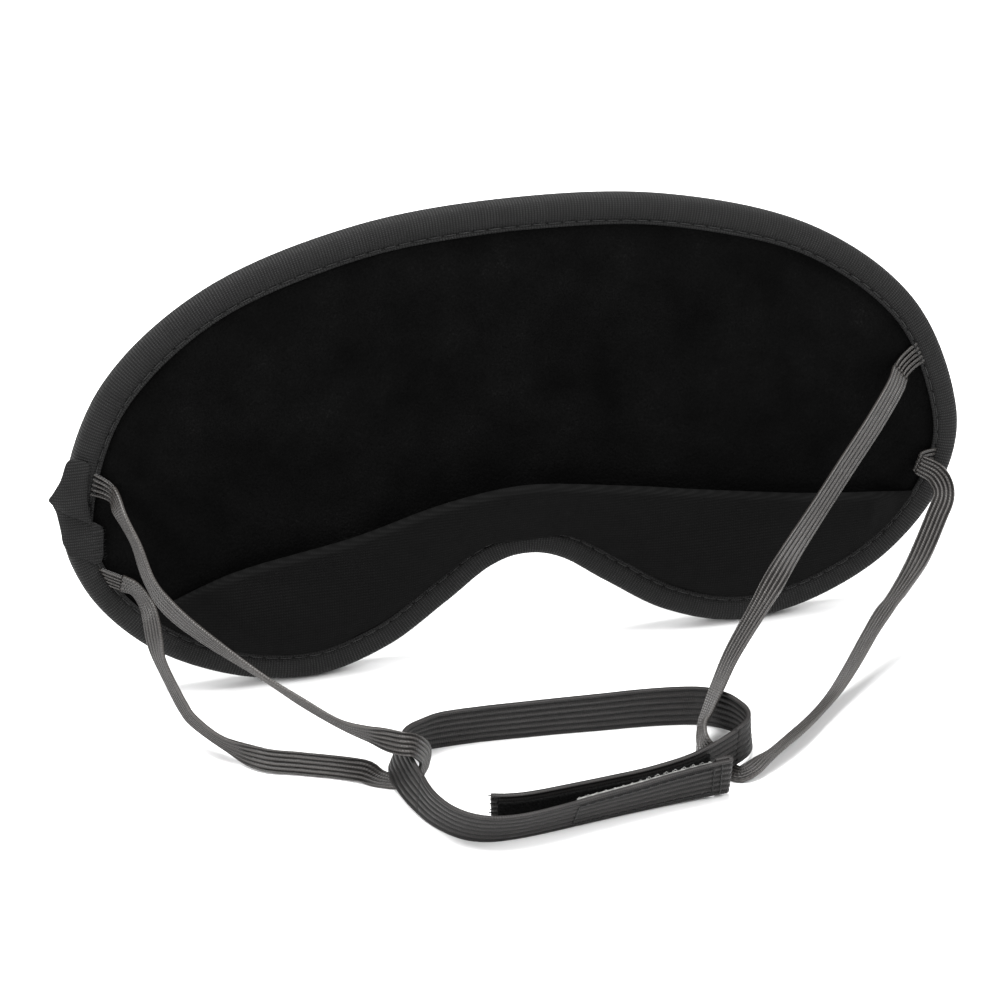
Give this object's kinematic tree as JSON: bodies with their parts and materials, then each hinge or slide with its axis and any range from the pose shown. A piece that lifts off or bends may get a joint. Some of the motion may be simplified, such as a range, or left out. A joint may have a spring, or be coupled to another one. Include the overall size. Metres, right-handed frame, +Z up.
{
  "type": "sleep mask",
  "caption": "Contoured padded sleep mask with a nose flap, ribbed edge binding and an adjustable elastic head strap that closes with a hook-and-loop overlap.",
  "frame": {"origin": "middle of the whole object's floor area, at table height, with the mask standing on its lobes and its strap lying in front of it", "axes": "+X to the right of somebody who looks at the face side, along the mask's length; the face side looks towards -Y; +Z is up"},
  "size_m": [0.2126, 0.1004, 0.1067],
  "materials": {
    "black_satin": "smooth woven",
    "grey_foam": "open-cell foam",
    "blackout_film": "dense cloth",
    "black_velour": "short brushed pile",
    "black_jersey": "fine ribbed knit",
    "ribbed_tape": "cross-ribbed tape",
    "black_thread": "spun thread",
    "narrow_elastic": "braided elastic, slight sheen",
    "wide_elastic": "braided elastic",
    "hook_tape": "moulded hooks",
    "loop_pile": "dense loop pile"
  },
  "bodies": {
    "mask": {"outer_cover": "black_satin", "foam_pad": "grey_foam", "blackout_layer": "blackout_film", "face_lining": "black_velour", "edge_binding": "ribbed_tape", "binding_lap": "ribbed_tape", "binding_needle_thread": "black_thread", "binding_bobbin_thread": "black_thread", "flap_left_foam": "grey_foam", "flap_left_lobe": "black_jersey", "flap_right_foam": "grey_foam", "flap_right_lobe": "black_jersey", "left_elastic_upper_tail": "narrow_elastic", "left_elastic_lower_tail": "narrow_elastic", "right_elastic_upper_tail": "narrow_elastic", "right_elastic_lower_tail": "narrow_elastic"},
    "nose_flap": {"nose_flap": "black_jersey", "nose_flap_foam": "grey_foam"},
    "strap": {"head_strap": "wide_elastic", "left_elastic": "narrow_elastic", "right_elastic": "narrow_elastic"},
    "hook_end": {"hook_end": "wide_elastic", "hook_patch": "hook_tape", "hook_patch_thread": "black_thread", "hem_thread": "black_thread"},
    "loop_end": {"loop_end": "wide_elastic", "loop_patch": "loop_pile", "loop_patch_thread": "black_thread"}
  },
  "joints": [
    {"name": "nose_flap_bend", "type": "hinge", "parent": "mask", "child": "nose_flap", "pos_m": [0.0013, 0.03185, 0.02727], "axis": [1, 0, 0], "range_deg": [-8, 40], "stiffness_Nm_per_rad": 0.004},
    {"name": "strap_swing", "type": "hinge", "parent": "mask", "child": "strap", "pos_m": [0.0013, 0.0369, 0.0605], "axis": [-1, 0, 0], "range_deg": [0, 85]},
    {"name": "hook_end_peel", "type": "hinge", "parent": "strap", "child": "hook_end", "pos_m": [-0.04019, -0.03119, 0.0053], "axis": [0, 0, -1], "range_deg": [0, 60]},
    {"name": "loop_end_peel", "type": "hinge", "parent": "strap", "child": "loop_end", "pos_m": [0.0301, -0.03106, 0.00621], "axis": [0, 0, -1], "range_deg": [0, 25]}
  ]
}
